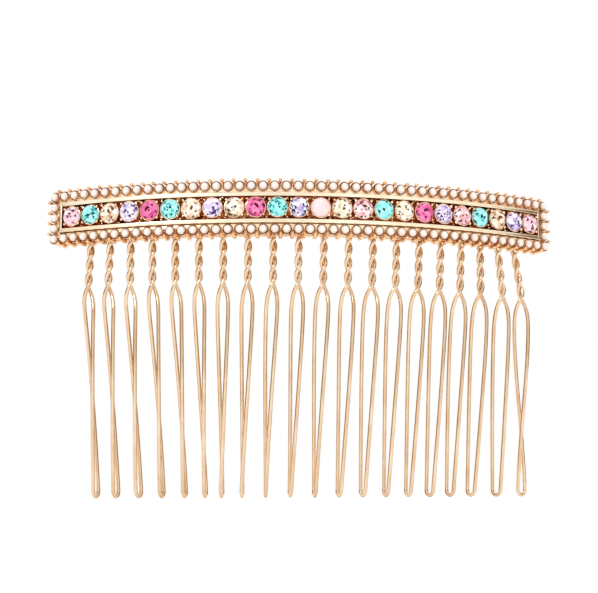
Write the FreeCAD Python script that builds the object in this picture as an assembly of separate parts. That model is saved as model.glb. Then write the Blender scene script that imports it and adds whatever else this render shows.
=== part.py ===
import FreeCAD, Part
import math
import os
from FreeCAD import Vector

# Decorative hair comb: a curved jewelled band on twenty twisted-wire teeth.
# Millimetres. +Z up, +X to the wearer's view of the right-hand end, -Y out of the decorated face.
# Origin: middle of the tooth row, at the band's lower edge, where the teeth start.

# ---- Band: radii are measured from the upright axis that the band curves around ----
PLATE_BACK_R = 81.6
PLATE_THICKNESS = 0.8
REST_GAP = 0.02
FACE_R = 85.0
ROW_SPACING_Z = 6.95
STONE_LINE_Z = 4.7

# ---- Stones ----
STONE_COUNT = 24
STONE_PITCH = 3.465
STONE_D = 3.1
STONE_TABLE_D = 1.75
STONE_CROWN = 0.72
STONE_GIRDLE = 0.12
STONE_PAVILION = 1.25
STONE_STAR_SHARE = 0.82
STONE_LOW_SHARE = 0.25
STONE_TOP_R = 84.85
OPAL_NUMBER = 13
OPAL_DOME = 0.95

# ---- Stone cups ----
CUP_D = 3.3
CUP_FLOOR = 0.25
CUP_WALL_CLEAR = 0.03
CUP_BEHIND_STONE = 0.04
CLAW_D = 0.38
CLAW_TIP_D = 0.46
CLAW_RISE = 0.32
CLAWS_PER_CUP = 4

# ---- Rail frame round the stones ----
RAIL_WIDTH = 0.6
RAIL_END_WIDTH = 0.5
RAIL_CENTRE_Z = 2.15
RAIL_TOP_R = 84.0
RAIL_END_GAP = 0.20

# ---- Pearls and their cups ----
PEARLS_PER_ROW = 47
PEARL_ROW_ARC = 86.4
PEARLS_PER_END = 3
PEARL_D = 1.4
PEARL_CENTRE_R = 83.95
PEARL_CUP_D = 1.66
PEARL_CUP_LIP = 0.12

# ---- Ball-tipped prongs in the gaps between pearls, on the outer edge ----
PRONG_OFFSET = 0.88
PRONG_STALK_D = 0.36
PRONG_BALL_D = 0.64
PRONG_BALL_R = 84.1

# ---- Scalloped edge of the setting plate: a scallop behind each pearl and a lobe behind each prong ----
PLATE_MARGIN = 0.575
SCALLOP_D = 1.84
LOBE_D = 0.72

# ---- Rear bar ----
BAR_THICKNESS = 1.0
BAR_HEIGHT = 2.4
BAR_LOW_Z = 1.3
BAR_END_ANGLE = 2.0

# ---- Teeth: twist, loop and tilt ----
TOOTH_COUNT = 20
TEETH_HALF_ANGLE = 25.9
TEETH_SHIFT_ANGLE = 0.35
END_CROWDING = 0.05
WIRE_D = 0.65
STRAND_GAP = 0.03
TWIST_PITCH = 4.56
TWIST_STEPS = 6
TWIST_END_Z = -6.75
NECK_TOP_STEPS = 14
LOOP_LENGTH = 33.75
LOOP_OPEN_WIDTH = 1.8
LOOP_WIDER_BY = 0.2
LOOP_NARROWING = 0.95
TIP_SIDES = 0.72
TIP_WIDTH = 0.55
OPENING_DEPTH = 2.7
OPENING_DEPTH_CHANGE = 0.5
TURNING_SHARE = 0.7
TURN_AT_CROTCH = 110.0
TURN_DOWN_LOOP = 65.0
TILT_BACK = 4.9

# ---- Teeth: unevenness left by hand bending, from one end of the row to the other ----
HAND_SWAP = 10.0
HAND_SWAP_SPREAD = 2.0
FIRST_TEETH_TURN = 20.0
FIRST_TEETH_TURN_PEAK = 3.0
FIRST_TEETH_TURN_POWER = 1.5
LAST_TOOTH_TURN = 95.0
NECK_SPLAY = -0.1
FIRST_NECK_SPLAY = 0.6
FIRST_NECK_SPREAD = 1.8
LAST_NECK_SPLAY = 1.9
LAST_NECK_SPREAD = 1.6
LEAN = 0.1
HAND_LEAN = 1.3
LEAN_SWAP = 6.6
FIRST_TOOTH_SPLAY = 0.7
FIRST_TOOTH_SPREAD = 3.0
LAST_TOOTH_SPLAY = 2.3
LAST_TOOTH_SPREAD = 1.0
LOOP_DEPTHS = (0.0, 0.6, 1.3, 2.4, 4.0, 6.5, 10.0, 15.0, 20.0, 25.0, 29.5)

# ---- Solder ----
SOLDER_D = 1.7

PLATE_FRONT_R = PLATE_BACK_R + PLATE_THICKNESS
SEAT_R = PLATE_FRONT_R + REST_GAP
STRAND_R = (WIRE_D + STRAND_GAP) / 2
NECK_R = STRAND_R / math.cos(math.pi / TWIST_STEPS) + WIRE_D / 2
TEETH_R = PLATE_BACK_R - REST_GAP - NECK_R
BAR_FRONT_R = TEETH_R - NECK_R - REST_GAP
AXIS = Vector(0, TEETH_R, 0)
UP = Vector(0, 0, 1)


def arc_to_degrees(arc):
    """Angle of a length measured along the band's face."""
    return math.degrees(arc / FACE_R)


def placed(shape, angle, radius, z):
    """A copy of a shape, moved from its own axes (x along the band, y up, z outwards) onto the band."""
    a = math.radians(angle)
    matrix = FreeCAD.Matrix(
        math.cos(a), 0, math.sin(a), radius * math.sin(a),
        math.sin(a), 0, -math.cos(a), TEETH_R - radius * math.cos(a),
        0, 1, 0, z,
        0, 0, 0, 1,
    )
    copy = shape.copy()
    copy.Placement = FreeCAD.Placement(matrix)
    return copy


def curved_bar(inner_r, outer_r, low_z, high_z, half_arc):
    """A rectangular bar bent round the band's axis, centred on the middle of the comb."""
    half = arc_to_degrees(half_arc)
    corners = [
        Vector(0, TEETH_R - inner_r, low_z),
        Vector(0, TEETH_R - outer_r, low_z),
        Vector(0, TEETH_R - outer_r, high_z),
        Vector(0, TEETH_R - inner_r, high_z),
    ]
    section = Part.Face(Part.makePolygon(corners + corners[:1]))
    section.rotate(AXIS, UP, -half)
    return section.revolve(AXIS, UP, 2 * half)


def spun(edges):
    """A solid turned from a closed outline in the x-z plane."""
    return Part.Face(Part.Wire(edges)).revolve(Vector(0, 0, 0), UP, 360)


def outline(points):
    """Straight edges from point to point, each point being (x, z)."""
    places = [Vector(x, 0, z) for x, z in points]
    return [Part.makeLine(a, b) for a, b in zip(places, places[1:])]


# ---------------------------------------------------------------- places along the band
def stone_angles():
    middle = (STONE_COUNT - 1) / 2
    return [arc_to_degrees((i - middle) * STONE_PITCH) for i in range(STONE_COUNT)]


def pearl_row_angles():
    step = PEARL_ROW_ARC / (PEARLS_PER_ROW - 1)
    return [arc_to_degrees(i * step - PEARL_ROW_ARC / 2) for i in range(PEARLS_PER_ROW)]


def end_pearl_heights():
    step = ROW_SPACING_Z / (PEARLS_PER_END + 1)
    return [STONE_LINE_Z - ROW_SPACING_Z / 2 + (i + 1) * step for i in range(PEARLS_PER_END)]


def tooth_angle(number):
    """Teeth sit slightly closer together towards the ends."""
    n = (2 * number - TOOTH_COUNT - 1) / (TOOTH_COUNT - 1)
    return TEETH_SHIFT_ANGLE + TEETH_HALF_ANGLE * ((1 + END_CROWDING) * n - END_CROWDING * n**3)


TOP_ROW_Z = STONE_LINE_Z + ROW_SPACING_Z / 2
BOTTOM_ROW_Z = STONE_LINE_Z - ROW_SPACING_Z / 2
END_ANGLE = arc_to_degrees(PEARL_ROW_ARC / 2)


# ---------------------------------------------------------------- setting plate and rails
def setting_plate():
    """Curved plate whose edge bulges in a round scallop behind every pearl and a lobe behind every prong."""
    half_arc = PEARL_ROW_ARC / 2 + PLATE_MARGIN
    low = BOTTOM_ROW_Z - PLATE_MARGIN
    high = TOP_ROW_Z + PLATE_MARGIN
    plate = curved_bar(PLATE_BACK_R, PLATE_FRONT_R, low, high, half_arc)
    # The discs start and end a little inside the plate's faces, so that no curved faces coincide.
    scallop = Part.makeCylinder(SCALLOP_D / 2, PLATE_THICKNESS - 0.1)
    lobe = Part.makeCylinder(LOBE_D / 2, PLATE_THICKNESS - 0.2)
    seats = [(a, z) for a in pearl_row_angles() for z in (TOP_ROW_Z, BOTTOM_ROW_Z)]
    seats += [(side * END_ANGLE, z) for side in (-1, 1) for z in end_pearl_heights()]
    discs = [placed(scallop, a, PLATE_BACK_R + 0.05, z) for a, z in seats]
    for places in prong_places():
        discs += [placed(lobe, a, PLATE_BACK_R + 0.1, z) for a, z in places]
    return plate.multiFuse(discs)


def rail_frame():
    """Square-cornered raised frame round the channel that holds the stones."""
    last_stone = (STONE_COUNT - 1) / 2 * STONE_PITCH
    # The bars stand on the plate, where a length takes up more angle than on the face.
    spread = FACE_R / SEAT_R
    inner_arc = last_stone + (CUP_D / 2 + RAIL_END_GAP) * spread
    outer_arc = inner_arc + RAIL_END_WIDTH * spread
    reach = RAIL_CENTRE_Z + RAIL_WIDTH / 2
    clear = RAIL_CENTRE_Z - RAIL_WIDTH / 2
    block = curved_bar(SEAT_R, RAIL_TOP_R, STONE_LINE_Z - reach, STONE_LINE_Z + reach, outer_arc)
    channel = curved_bar(SEAT_R - 1, RAIL_TOP_R + 1, STONE_LINE_Z - clear, STONE_LINE_Z + clear, inner_arc)
    return block.cut(channel)


# ---------------------------------------------------------------- stones and cups
def ring(radius, height, count, start=0.0):
    """Points evenly round the stone's axis."""
    angles = [math.radians(start + 360.0 * i / count) for i in range(count)]
    return [Vector(radius * math.cos(a), radius * math.sin(a), height) for a in angles]


def solid_from(faces):
    polygons = [Part.Face(Part.makePolygon(list(points) + [points[0]])) for points in faces]
    solid = Part.Solid(Part.Shell(polygons))
    if solid.Volume < 0:
        solid.reverse()
    return solid


def brilliant():
    """Round brilliant: table, stars, kites and halves above the girdle, kites and halves below it."""
    r = STONE_D / 2
    table_r = STONE_TABLE_D / 2
    star_r = STONE_STAR_SHARE * r
    low_r = STONE_LOW_SHARE * r
    half_step = math.cos(math.radians(22.5))
    star_z = STONE_CROWN * (r - star_r * half_step) / (r - table_r)
    low_z = -STONE_GIRDLE - STONE_PAVILION * (1 - low_r * half_step / r)
    table = ring(table_r, STONE_CROWN, 8)
    star = ring(star_r, star_z, 8, 22.5)
    upper = ring(r, 0, 16)
    lower = ring(r, -STONE_GIRDLE, 16)
    low = ring(low_r, low_z, 8, 22.5)
    culet = Vector(0, 0, -STONE_GIRDLE - STONE_PAVILION)
    faces = [table]
    for i in range(8):
        after = (i + 1) % 8
        main = 2 * i
        between = 2 * i + 1
        next_main = (2 * i + 2) % 16
        faces.append([table[i], table[after], star[i]])
        faces.append([table[i], star[i - 1], upper[main], star[i]])
        faces.append([star[i], upper[main], upper[between]])
        faces.append([star[i], upper[between], upper[next_main]])
        faces.append([upper[main], upper[between], lower[between], lower[main]])
        faces.append([upper[between], upper[next_main], lower[next_main], lower[between]])
        faces.append([low[i], lower[main], lower[between]])
        faces.append([low[i], lower[between], lower[next_main]])
        faces.append([culet, low[i - 1], lower[main], low[i]])
    return solid_from(faces)


def opal():
    """Smooth stone: a cap of a ball on the same girdle and the same pointed back."""
    r = STONE_D / 2
    base = -STONE_GIRDLE - STONE_PAVILION
    ball_r = (r**2 + OPAL_DOME**2) / (2 * OPAL_DOME)
    middle = math.asin(r / ball_r) / 2
    shoulder = Vector(ball_r * math.sin(middle), 0, OPAL_DOME - ball_r * (1 - math.cos(middle)))
    dome = Part.Arc(Vector(r, 0, 0), shoulder, Vector(0, 0, OPAL_DOME)).toShape()
    return spun([dome] + outline([(0, OPAL_DOME), (0, base), (r, -STONE_GIRDLE), (r, 0)]))


def stone_cup():
    """Open cup with a floor and four claws that stand just outside the stone's edge."""
    girdle = STONE_TOP_R - STONE_CROWN - SEAT_R
    rim = girdle - STONE_GIRDLE - CUP_BEHIND_STONE
    bore = STONE_D / 2 - CUP_BEHIND_STONE
    outer = CUP_D / 2
    cup = spun(outline([
        (0, 0), (outer, 0), (outer, rim), (bore, rim), (bore, CUP_FLOOR), (0, CUP_FLOOR), (0, 0),
    ]))
    claw_at = STONE_D / 2 + CUP_WALL_CLEAR + CLAW_D / 2
    height = girdle + CLAW_RISE
    claws = []
    for i in range(CLAWS_PER_CUP):
        a = math.radians(45 + 360 / CLAWS_PER_CUP * i)
        foot = Vector(claw_at * math.cos(a), claw_at * math.sin(a), 0)
        claws.append(Part.makeCylinder(CLAW_D / 2, height, foot))
        claws.append(Part.makeSphere(CLAW_TIP_D / 2, foot + Vector(0, 0, height)))
    return cup.multiFuse(claws)


# ---------------------------------------------------------------- pearls, pearl cups and prongs
def pearl():
    return Part.makeSphere(PEARL_D / 2)


def pearl_cup():
    """Round bezel whose lip stands up round the pearl's lower part."""
    outer = PEARL_CUP_D / 2
    bore = PEARL_D / 2 + 0.02
    floor = PEARL_CENTRE_R - PEARL_D / 2 - REST_GAP - SEAT_R
    lip = PEARL_CENTRE_R - PEARL_CUP_LIP - SEAT_R
    return spun(outline([(0, 0), (outer, 0), (outer, lip), (bore, lip), (bore, floor), (0, floor), (0, 0)]))


def ball_prong():
    """Short stalk with a ball on its end."""
    stalk = PRONG_STALK_D / 2
    ball = PRONG_BALL_D / 2
    centre = PRONG_BALL_R - SEAT_R
    join = centre - math.sqrt(ball**2 - stalk**2)
    arc = Part.Arc(Vector(stalk, 0, join), Vector(ball, 0, centre), Vector(0, 0, centre + ball)).toShape()
    return spun([arc] + outline([(0, centre + ball), (0, 0), (stalk, 0), (stalk, join)]))


def prong_places():
    """Gaps along the top row, along the bottom row, and up the two ends."""
    angles = pearl_row_angles()
    gaps = [(a + b) / 2 for a, b in zip(angles, angles[1:])]
    top = [(a, TOP_ROW_Z + PRONG_OFFSET) for a in gaps]
    bottom = [(a, BOTTOM_ROW_Z - PRONG_OFFSET) for a in gaps]
    heights = [BOTTOM_ROW_Z] + end_pearl_heights() + [TOP_ROW_Z]
    middles = [(a + b) / 2 for a, b in zip(heights, heights[1:])]
    out = END_ANGLE + arc_to_degrees(PRONG_OFFSET)
    ends = [(side * out, z) for side in (-1, 1) for z in middles]
    return top, bottom, ends


# ---------------------------------------------------------------- teeth
def row_side(number):
    """-1 for the teeth towards -X, 1 for the teeth towards +X, with a soft change between them."""
    return math.tanh((number - HAND_SWAP) / HAND_SWAP_SPREAD)


def hump(number, peak, spread):
    """1 at the peak tooth, falling smoothly to 0 on both sides."""
    return math.exp(-(((number - peak) / spread) ** 2))


def loop_width(number):
    """Opening of a tooth's loop: the teeth towards +X were left a little wider."""
    return LOOP_OPEN_WIDTH + LOOP_WIDER_BY * row_side(number)


def opening_depth(number):
    """Depth over which the loop opens out: the teeth towards +X open sooner."""
    return OPENING_DEPTH - OPENING_DEPTH_CHANGE * row_side(number)


def loop_turn(number):
    """Slow turn of the loop from its top to its tip, in degrees. The outermost teeth turn further."""
    share = number / FIRST_TEETH_TURN_PEAK
    first = FIRST_TEETH_TURN * (share * math.exp(1 - share)) ** FIRST_TEETH_TURN_POWER
    last = LAST_TOOTH_TURN if number == TOOTH_COUNT else 0
    return TURN_DOWN_LOOP + first + last


def strand(side, number):
    """Corner points of one of the two strands of a tooth, from the top of the neck to the loop's end."""
    corner_r = STRAND_R / math.cos(math.pi / TWIST_STEPS)
    step = TWIST_PITCH / TWIST_STEPS
    points = []
    for k in range(NECK_TOP_STEPS, 0, -1):
        phi = math.radians(-90 + 360 * k / TWIST_STEPS)
        points.append(Vector(side * corner_r * math.cos(phi), side * corner_r * math.sin(phi),
                             TWIST_END_Z + k * step))
    opening_out = opening_depth(number)
    for depth in LOOP_DEPTHS:
        down = depth / LOOP_LENGTH
        turned = 1 - math.exp(-depth / (TURNING_SHARE * opening_out))
        opened = 1 - math.exp(-depth / opening_out)
        phi = math.radians(-90 - TURN_AT_CROTCH * turned - loop_turn(number) * down)
        opening = loop_width(number) * opened - LOOP_NARROWING * down
        reach = corner_r + opening / 2
        points.append(Vector(side * reach * math.cos(phi), side * reach * math.sin(phi),
                             TWIST_END_Z - depth))
    return points


def neck_splay(number):
    """Sideways shift of the bottom of a tooth's neck. The outermost necks splay outwards."""
    first = FIRST_NECK_SPLAY * hump(number, 1, FIRST_NECK_SPREAD)
    last = LAST_NECK_SPLAY * hump(number, TOOTH_COUNT, LAST_NECK_SPREAD)
    return NECK_SPLAY + last - first


def tooth_lean(number):
    """Sideways shift of a tooth's tip from the bottom of its neck, as left by hand bending."""
    first = FIRST_TOOTH_SPLAY * hump(number, 1, FIRST_TOOTH_SPREAD)
    last = LAST_TOOTH_SPLAY * hump(number, TOOTH_COUNT, LAST_TOOTH_SPREAD)
    return LEAN - HAND_LEAN * math.tanh(number - LEAN_SWAP) + last - first


def hairpin_points(number):
    """Down one strand, round the tip and up the other, bent back and sideways below the band."""
    front = strand(1, number)
    back = strand(-1, number)
    a = front[-1]
    b = back[-1]
    middle = (a + b) * 0.5
    half = (a - b) * 0.5
    left = TWIST_END_Z - LOOP_LENGTH + WIRE_D / 2 - a.z
    deep = Vector(0, 0, left)
    sides = Vector(0, 0, left * TIP_SIDES)
    inset = half * TIP_WIDTH
    tip = [a + sides, middle + inset + deep, middle - inset + deep, b + sides]
    bent = []
    for point in front + tip + back[::-1]:
        below = max(0.0, -point.z)
        down_neck = min(1.0, below / -TWIST_END_Z)
        down_loop = max(0.0, TWIST_END_Z - point.z) / LOOP_LENGTH
        sideways = neck_splay(number) * down_neck + tooth_lean(number) * down_loop
        bent.append(point + Vector(sideways, below * math.tan(math.radians(TILT_BACK)), 0))
    return bent


def rounded_path(points, share=0.45):
    """Straight runs joined by tangent arcs, each using the given share of its shorter run."""
    edges = []
    last = points[0]
    for before, corner, after in zip(points, points[1:], points[2:]):
        u = before - corner
        v = after - corner
        reach = share * min(u.Length, v.Length)
        u.normalize()
        v.normalize()
        half_turn = (math.pi - u.getAngle(v)) / 2
        radius = reach / math.tan(half_turn)
        inward = (u + v).normalize()
        first = corner + u * reach
        second = corner + v * reach
        crown = corner + inward * (radius / math.cos(half_turn) - radius)
        edges.append(Part.makeLine(last, first))
        edges.append(Part.Arc(first, crown, second).toShape())
        last = second
    edges.append(Part.makeLine(last, points[-1]))
    return Part.Wire(edges)


def tooth(number):
    """One wire folded double, its neck twisted and its lower part left open as a long loop."""
    points = hairpin_points(number)
    path = rounded_path(points)
    start = Part.Circle(points[0], points[1] - points[0], WIRE_D / 2).toShape()
    wire = path.makePipe(Part.Face(Part.Wire(start)))
    expected = math.pi * WIRE_D**2 / 4 * path.Length
    print("tooth", number, "volume", round(wire.Volume, 3), "section x length", round(expected, 3))
    wire.rotate(AXIS, UP, tooth_angle(number))
    return wire


def main():
    os.makedirs("parts", exist_ok=True)
    nodes = {}
    nodes["setting_plate"] = setting_plate()
    nodes["rail_frame"] = rail_frame()

    cut_stone = brilliant()
    smooth_stone = opal()
    cup = stone_cup()
    cups = []
    for number, angle in enumerate(stone_angles(), 1):
        stone = smooth_stone if number == OPAL_NUMBER else cut_stone
        nodes["stone_%02d" % number] = placed(stone, angle, STONE_TOP_R - STONE_CROWN, STONE_LINE_Z)
        cups.append(placed(cup, angle, SEAT_R, STONE_LINE_Z))
    nodes["stone_cups"] = Part.makeCompound(cups)

    bead = pearl()
    bezel = pearl_cup()
    row = pearl_row_angles()
    rows = {"top_row": [(a, TOP_ROW_Z) for a in row], "bottom_row": [(a, BOTTOM_ROW_Z) for a in row]}
    rows["left_end"] = [(-END_ANGLE, z) for z in end_pearl_heights()]
    rows["right_end"] = [(END_ANGLE, z) for z in end_pearl_heights()]
    bezels = []
    for name, places in rows.items():
        nodes["pearls_" + name] = Part.makeCompound([placed(bead, a, PEARL_CENTRE_R, z) for a, z in places])
        bezels += [placed(bezel, a, SEAT_R, z) for a, z in places]
    nodes["pearl_cups"] = Part.makeCompound(bezels)

    prong = ball_prong()
    for name, places in zip(("top", "bottom", "ends"), prong_places()):
        nodes["ball_prongs_" + name] = Part.makeCompound([placed(prong, a, SEAT_R, z) for a, z in places])

    bar_arc = math.radians(tooth_angle(TOOTH_COUNT) + BAR_END_ANGLE) * FACE_R
    nodes["rear_bar"] = curved_bar(BAR_FRONT_R - BAR_THICKNESS, BAR_FRONT_R, BAR_LOW_Z,
                                   BAR_LOW_Z + BAR_HEIGHT, bar_arc)

    angles = []
    for number in range(1, TOOTH_COUNT + 1):
        nodes["tooth_%02d" % number] = tooth(number)
        angles.append(tooth_angle(number))

    slug_length = PLATE_BACK_R - BAR_FRONT_R - 2 * REST_GAP
    slug = Part.makeCylinder(SOLDER_D / 2, slug_length - 0.02)
    gaps = [(a + b) / 2 for a, b in zip(angles, angles[1:])]
    middle_z = BAR_LOW_Z + BAR_HEIGHT / 2
    nodes["solder_joints"] = Part.makeCompound(
        [placed(slug, a, BAR_FRONT_R + REST_GAP, middle_z) for a in gaps])

    for name, shape in nodes.items():
        shape.exportStep("parts/%s.step" % name)
    box = Part.makeCompound(list(nodes.values())).BoundBox
    print("nodes", len(nodes), "size", round(box.XLength, 2), round(box.YLength, 2), round(box.ZLength, 2))
    print("low", round(box.XMin, 2), round(box.YMin, 2), round(box.ZMin, 2))
    print("invalid", [name for name, shape in nodes.items() if not shape.isValid()])


main()
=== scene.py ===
import math
import random

import bmesh
import bpy
from mathutils import Matrix, Vector


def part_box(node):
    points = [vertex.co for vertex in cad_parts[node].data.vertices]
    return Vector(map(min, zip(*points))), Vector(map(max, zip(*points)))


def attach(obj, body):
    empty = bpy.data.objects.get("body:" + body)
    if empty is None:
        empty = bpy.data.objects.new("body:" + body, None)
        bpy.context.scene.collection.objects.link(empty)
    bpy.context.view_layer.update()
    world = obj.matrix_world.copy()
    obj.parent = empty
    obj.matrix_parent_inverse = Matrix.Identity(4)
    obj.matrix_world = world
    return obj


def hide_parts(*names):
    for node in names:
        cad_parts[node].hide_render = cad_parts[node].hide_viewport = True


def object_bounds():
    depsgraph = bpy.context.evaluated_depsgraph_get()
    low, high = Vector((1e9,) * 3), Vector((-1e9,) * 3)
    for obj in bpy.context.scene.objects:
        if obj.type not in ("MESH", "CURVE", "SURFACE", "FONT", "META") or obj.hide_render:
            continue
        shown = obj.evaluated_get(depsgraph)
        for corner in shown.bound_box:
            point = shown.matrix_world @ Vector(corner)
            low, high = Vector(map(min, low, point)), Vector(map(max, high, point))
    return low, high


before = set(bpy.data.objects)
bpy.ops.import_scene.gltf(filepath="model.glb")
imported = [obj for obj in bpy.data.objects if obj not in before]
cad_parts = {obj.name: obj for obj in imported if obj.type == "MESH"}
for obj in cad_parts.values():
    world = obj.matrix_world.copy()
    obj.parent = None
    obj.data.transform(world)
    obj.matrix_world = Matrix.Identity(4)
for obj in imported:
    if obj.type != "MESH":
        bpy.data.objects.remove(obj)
cad_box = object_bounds()

# Bench dimensions in millimetres. Finished meshes are scaled to metres by MM.
# Radii over 80 are measured from the upright axis that the band curves around. Smaller ones are a shape's own.
MM = 0.001
ROOT = "root"

# ---- Band
AXIS_Y = 80.862
FACE_R = 85.0
PLATE_BACK_R = 81.6
PLATE_FRONT_R = 82.4
PLATE_MARGIN = 0.575
PLATE_BEVEL = 0.12
SCALLOP_R = 0.91
SCALLOP_HEIGHT = 0.74
SCALLOP_IN_FROM_BACK = 0.03
LOBE_R = 0.35
LOBE_HEIGHT = 0.66
LOBE_IN_FROM_BACK = 0.07
STONE_LINE_Z = 4.7
ROW_HALF_Z = 3.475

# ---- Stones
STONE_COUNT = 24
STONE_PITCH = 3.465
STONE_R = 1.55
STONE_TABLE_R = 0.875
STONE_CROWN = 0.72
STONE_GIRDLE = 0.12
STONE_PAVILION = 1.25
STONE_STAR_SHARE = 0.82
STONE_LOW_SHARE = 0.25
STONE_TABLE_INSET = 0.36
STONE_LOOSENESS = 0.04
# Shares of facets painted dark, as dark reflections.
DARK_SHARE = 0.2
VIOLET_DARK_SHARE = 0.5
OPAL_DOME = 0.94
GIRDLE_R = 84.13
GIRDLE_HEIGHT = GIRDLE_R - PLATE_FRONT_R

# ---- Cups, claws and webs round the stones
CLAW_REACH = STONE_R + 0.2
SLIVER_SHARE = 0.6
WEB_OFFSET_Z = 1.58

# ---- Rail frame and the gallery strips outside it
RAIL_TOP_R = 84.0
RAIL_IN_Z = 1.85
RAIL_OUT_Z = 2.45
RAIL_IN_ARC = 41.755
RAIL_OUT_ARC = 42.27
RAIL_BEVEL = 0.07
GALLERY_GROOVE = 0.13
GALLERY_BEVEL = 0.05
GALLERY_BELOW_PEARLS = 0.45
GALLERY_PAST_PEARLS = 0.12
GALLERY_PAST_END_PEARLS = 0.1
GALLERY_IN_PLATE = 0.1
CHANNEL_UNDER_RAILS = 0.05

# ---- Pearls, bezels and prongs
PEARLS_PER_ROW = 47
PEARLS_PER_END = 3
PEARL_ROW_ARC = 86.4
PEARL_R = 0.70
PEARL_CENTRE_R = 83.95
BEZEL_R = 0.88
END_BEZEL_R = 0.83
PRONG_OFFSET = 0.88
PRONG_BALL = 0.32
PRONG_BALL_R = 84.1

# ---- Rear bar, solder and wire
BAR_FRONT_R = 80.124
BAR_THICKNESS = 1.0
BAR_BEVEL = 0.25
SOLDER_R = 80.86
SOLDER_Z = 2.5
TOOTH_COUNT = 20
WIRE_R = 0.325

STONE_COLOURS = (
    "pink", "aqua", "peach", "lavender", "fuchsia", "aqua", "peach", "lavender",
    "cream", "fuchsia", "aqua", "violet", "opal", "cream", "rose", "aqua",
    "cream", "fuchsia", "lavender", "rose", "aqua", "peach", "lavender", "pink",
)


# ---------------------------------------------------------------- bench helpers
def degrees_at(arc):
    """Angle round the band's axis of a distance along its face."""
    return math.degrees(arc / FACE_R)


def seat(angle, radius, z):
    """Places a shape made about its own axis (z outwards, y up) on the band."""
    a = math.radians(angle)
    return Matrix((
        (math.cos(a), 0, math.sin(a), radius * math.sin(a)),
        (math.sin(a), 0, -math.cos(a), AXIS_Y - radius * math.cos(a)),
        (0, 1, 0, z),
        (0, 0, 0, 1),
    ))


def arc_bar(bm, arc0, arc1, r0, r1, z0, z1, bevel):
    """A bar bent round the band's axis between two places along the face, with rounded edges."""
    longest_step = 0.7
    corner_angle = 1.0
    start = seat(degrees_at(arc0), 0, 0)
    section = ((r0, z0), (r1, z0), (r1, z1), (r0, z1))
    corners = [bm.verts.new(start @ Vector((0, z, r))) for r, z in section]
    face = bm.faces.new(corners)
    old = set(bm.faces) - {face}
    steps = max(1, round((arc1 - arc0) / longest_step))
    bmesh.ops.spin(bm, geom=[face, *face.edges, *corners], cent=(0, AXIS_Y, 0), axis=(0, 0, 1),
                   angle=(arc1 - arc0) / FACE_R, steps=steps)
    faces = [f for f in bm.faces if f not in old]
    bmesh.ops.recalc_face_normals(bm, faces=faces)
    edges = {e for f in faces for e in f.edges if e.calc_face_angle(0) > corner_angle}
    bmesh.ops.bevel(bm, geom=list(edges), offset=bevel, offset_type="OFFSET", segments=3,
                    profile=0.5, affect="EDGES", material=-1)


def lathe(points, steps):
    """A mesh turned round z from (radius, z) points. The first and last points may lie on the axis."""
    bm = bmesh.new()
    line = [bm.verts.new((x, 0, z)) for x, z in points]
    edges = [bm.edges.new(pair) for pair in zip(line, line[1:])]
    bmesh.ops.spin(bm, geom=line + edges, cent=(0, 0, 0), axis=(0, 0, 1), angle=math.tau,
                   steps=steps, use_merge=True)
    bmesh.ops.remove_doubles(bm, verts=bm.verts, dist=1e-5)
    bmesh.ops.recalc_face_normals(bm, faces=bm.faces)
    return as_mesh(bm)


def disc(radius, height, foot, steps):
    """A low round boss about z, drawn in at the foot and bevelled round the top."""
    return lathe(((0, 0), (radius - foot, 0), (radius, 0.06), (radius, height - 0.08),
                  (radius - 0.06, height), (0, height)), steps)


def as_mesh(bm):
    """Turns a bench shape into a mesh and clears the bench."""
    mesh = bpy.data.meshes.new("bench")
    bm.to_mesh(mesh)
    bm.free()
    return mesh


def stamp(target, mesh, places):
    """Adds a copy of a mesh to the target at every place."""
    for place in places:
        copy = mesh.copy()
        copy.transform(place)
        target.from_mesh(copy)
        bpy.data.meshes.remove(copy)


def uneven(chance, x, y, z):
    """A stretch along each axis, drawn between that axis's low and high."""
    return Matrix.Diagonal((chance.uniform(*x), chance.uniform(*y), chance.uniform(*z), 1))


def finish_piece(name, bm, material, nodes=(), sharp=35.0):
    """Turns a bench shape into a finished piece in metres, in its place on the comb."""
    bmesh.ops.scale(bm, vec=(MM, MM, MM), verts=bm.verts)
    bmesh.ops.recalc_face_normals(bm, faces=bm.faces)
    limit = math.radians(sharp)
    for face in bm.faces:
        face.smooth = True
    for edge in bm.edges:
        if edge.is_manifold and edge.calc_face_angle() > limit:
            edge.smooth = False
    mesh = bpy.data.meshes.new(name)
    bm.to_mesh(mesh)
    bm.free()
    piece = bpy.data.objects.new(name, mesh)
    bpy.context.scene.collection.objects.link(piece)
    mesh.materials.append(material)
    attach(piece, ROOT)
    if nodes:
        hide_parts(*nodes)


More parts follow.
